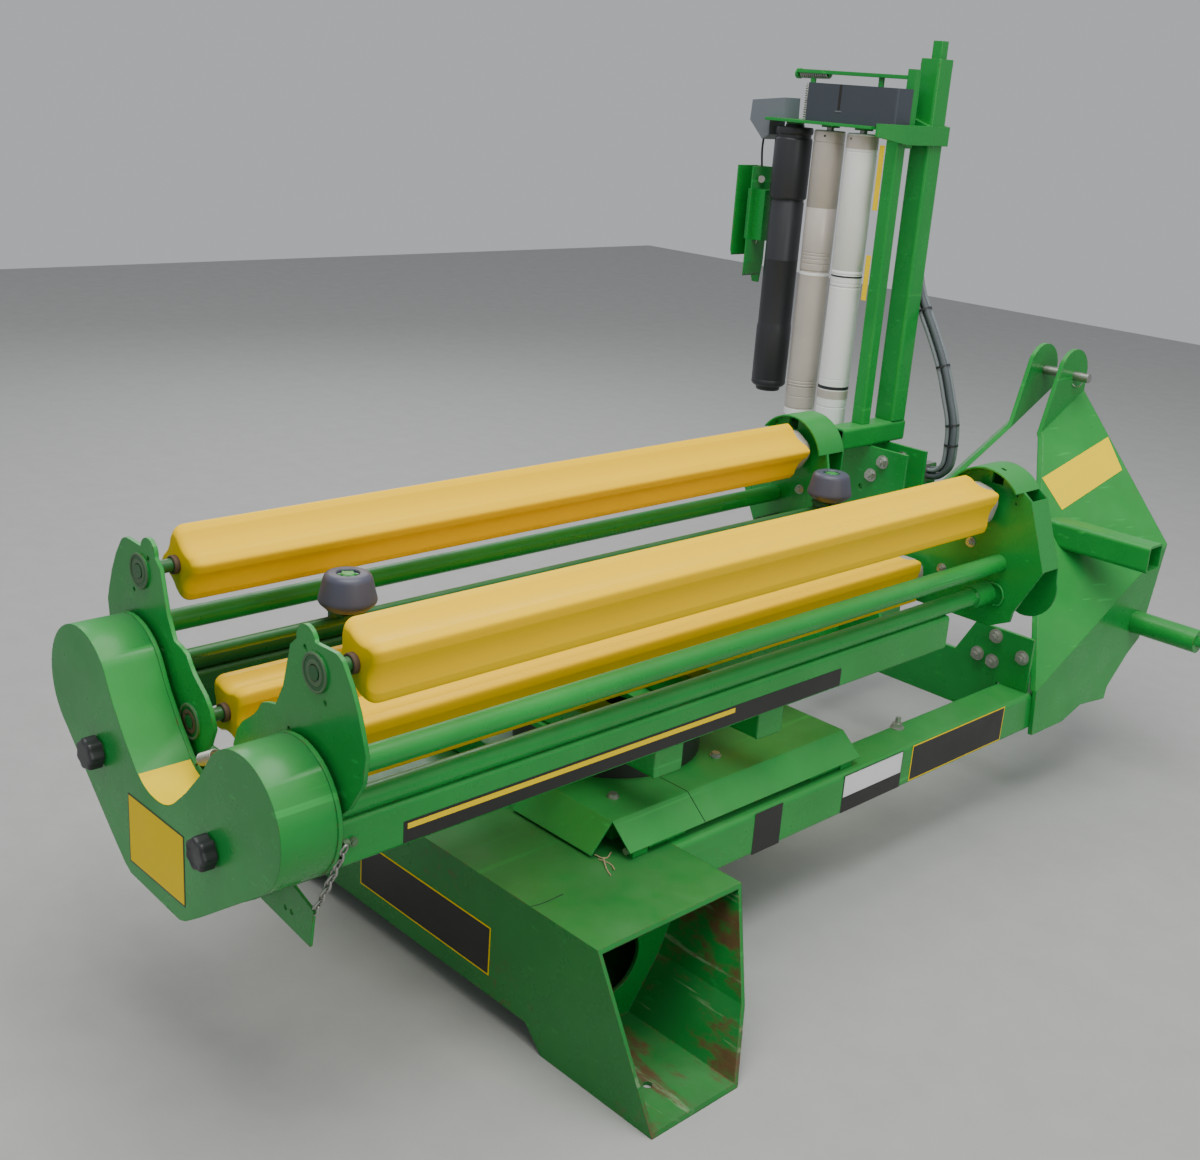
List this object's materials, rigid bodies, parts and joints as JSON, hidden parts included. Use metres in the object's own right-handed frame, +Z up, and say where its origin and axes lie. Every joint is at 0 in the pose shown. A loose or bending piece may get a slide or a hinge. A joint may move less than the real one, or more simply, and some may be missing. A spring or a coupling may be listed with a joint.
{
  "type": "bale wrapper",
  "caption": "Three-point linkage bale wrapper: folded foot beam, tilting turntable with yellow bale rollers and chain guard, film dispenser on a mast.",
  "frame": {"origin": "middle of the machine's box, on the ground it stands on", "axes": "+Y forward to the tractor, +X to the right seen from behind, +Z up"},
  "size_m": [1.549, 2.797, 1.83],
  "materials": {
    "green_paint": "glossy green paint, chipped and rusted on edges",
    "yellow_plastic": "moulded yellow plastic, faded above",
    "black_plastic": "black moulded plastic",
    "black_rubber": "black rubber pad",
    "grey_plastic": "grey plastic housing",
    "cone_rubber": "dark blue-grey moulded rubber",
    "steel": "zinc plated, dull",
    "dark_steel": "oily dark steel",
    "aluminium": "turned aluminium, dirty"
  },
  "bodies": {
    "base": {"foot_beam": "green_paint", "beam_right": "green_paint", "beam_left": "green_paint", "headstock_right": "green_paint", "headstock_left": "green_paint", "cross_plate": "green_paint", "top_pin": "steel", "lower_link_bar": "green_paint", "side_bracket": "green_paint", "hinge_knuckles": "green_paint", "hinge_pin": "steel", "rest_pad": "black_rubber", "cylinder_clevis": "green_paint", "mast_bracket": "green_paint", "mast_arm": "green_paint", "mast": "green_paint", "mast_clamp": "green_paint", "dispenser_column": "green_paint", "dispenser_plate": "green_paint", "gear_cover": "black_plastic", "sensor_box": "grey_plastic", "latch_bracket": "green_paint", "hoses": "black_plastic", "hose_connector": "steel"},
    "tilt": {"tilt_frame": "green_paint", "tilt_cover": "green_paint", "slew_ring": "dark_steel"},
    "table": {"table_hub": "green_paint", "rail_right": "green_paint", "rail_left": "green_paint", "side_tube_right": "green_paint", "side_tube_left": "green_paint", "rear_plate_right": "green_paint", "rear_plate_left": "green_paint", "front_plate_right": "green_paint", "front_plate_left": "green_paint", "table_ends": "green_paint", "rear_guard": "green_paint", "guard_knobs": "black_plastic", "cone_bar": "green_paint", "flag_plate": "green_paint"},
    "cylinder_barrel": {"cylinder_barrel": "green_paint"},
    "cylinder_rod": {"cylinder_rod": "steel"},
    "roller_upper_right": {"roller_upper_right": "yellow_plastic"},
    "roller_upper_left": {"roller_upper_left": "yellow_plastic"},
    "roller_lower_right": {"roller_lower_right": "yellow_plastic"},
    "roller_lower_left": {"roller_lower_left": "yellow_plastic"},
    "cone_rear": {"cone_rear": "cone_rubber"},
    "cone_front": {"cone_front": "cone_rubber"},
    "film_roller_black": {"film_roller_black": "black_plastic"},
    "film_roller_grey": {"film_roller_grey": "aluminium"},
    "film_roller_white": {"film_roller_white": "aluminium"}
  },
  "joints": [
    {"name": "tilt_hinge", "type": "hinge", "parent": "base", "child": "tilt", "pos_m": [0.4155, -0.3385, 0.299], "axis": [0, 1, 0], "range_deg": [0, 35]},
    {"name": "table_spin", "type": "hinge", "parent": "tilt", "child": "table", "pos_m": [0.0955, -0.3385, 0.42], "axis": [0, 0, 1], "continuous": true},
    {"name": "barrel_swing", "type": "hinge", "parent": "base", "child": "cylinder_barrel", "pos_m": [0.3155, -0.1535, 0.17], "axis": [0, 1, 0], "range_deg": [0, 37.77]},
    {"name": "rod_slide", "type": "slide", "parent": "cylinder_barrel", "child": "cylinder_rod", "axis": [-0.9801, 0, 0.1984], "range_m": [0, 0.0974]},
    {"name": "upper_right_spin", "type": "hinge", "parent": "table", "child": "roller_upper_right", "pos_m": [0.373, -0.3385, 0.81], "axis": [0, 1, 0], "continuous": true},
    {"name": "upper_left_spin", "type": "hinge", "parent": "table", "child": "roller_upper_left", "pos_m": [-0.182, -0.3385, 0.81], "axis": [0, 1, 0], "continuous": true},
    {"name": "lower_right_spin", "type": "hinge", "parent": "table", "child": "roller_lower_right", "pos_m": [0.2055, -0.3385, 0.5835], "axis": [0, 1, 0], "continuous": true},
    {"name": "lower_left_spin", "type": "hinge", "parent": "table", "child": "roller_lower_left", "pos_m": [-0.0145, -0.3385, 0.5835], "axis": [0, 1, 0], "continuous": true},
    {"name": "cone_rear_spin", "type": "hinge", "parent": "table", "child": "cone_rear", "pos_m": [-0.0145, -0.9305, 0.763], "axis": [0, 0, 1], "continuous": true},
    {"name": "cone_front_spin", "type": "hinge", "parent": "table", "child": "cone_front", "pos_m": [-0.0145, 0.4975, 0.763], "axis": [0, 0, 1], "continuous": true},
    {"name": "film_black_spin", "type": "hinge", "parent": "base", "child": "film_roller_black", "pos_m": [-0.6135, 0.9465, 1.2], "axis": [0, 0, 1], "continuous": true},
    {"name": "film_grey_spin", "type": "hinge", "parent": "base", "child": "film_roller_grey", "pos_m": [-0.4895, 0.9465, 1.2], "axis": [0, 0, 1], "continuous": true},
    {"name": "film_white_spin", "type": "hinge", "parent": "base", "child": "film_roller_white", "pos_m": [-0.3775, 0.9465, 1.2], "axis": [0, 0, 1], "continuous": true}
  ],
  "couplings": [
    {"joint": "barrel_swing", "follows": "tilt_hinge", "ratio": 1.065},
    {"joint": "rod_slide", "follows": "tilt_hinge", "m_per_rad": 0.1578}
  ]
}
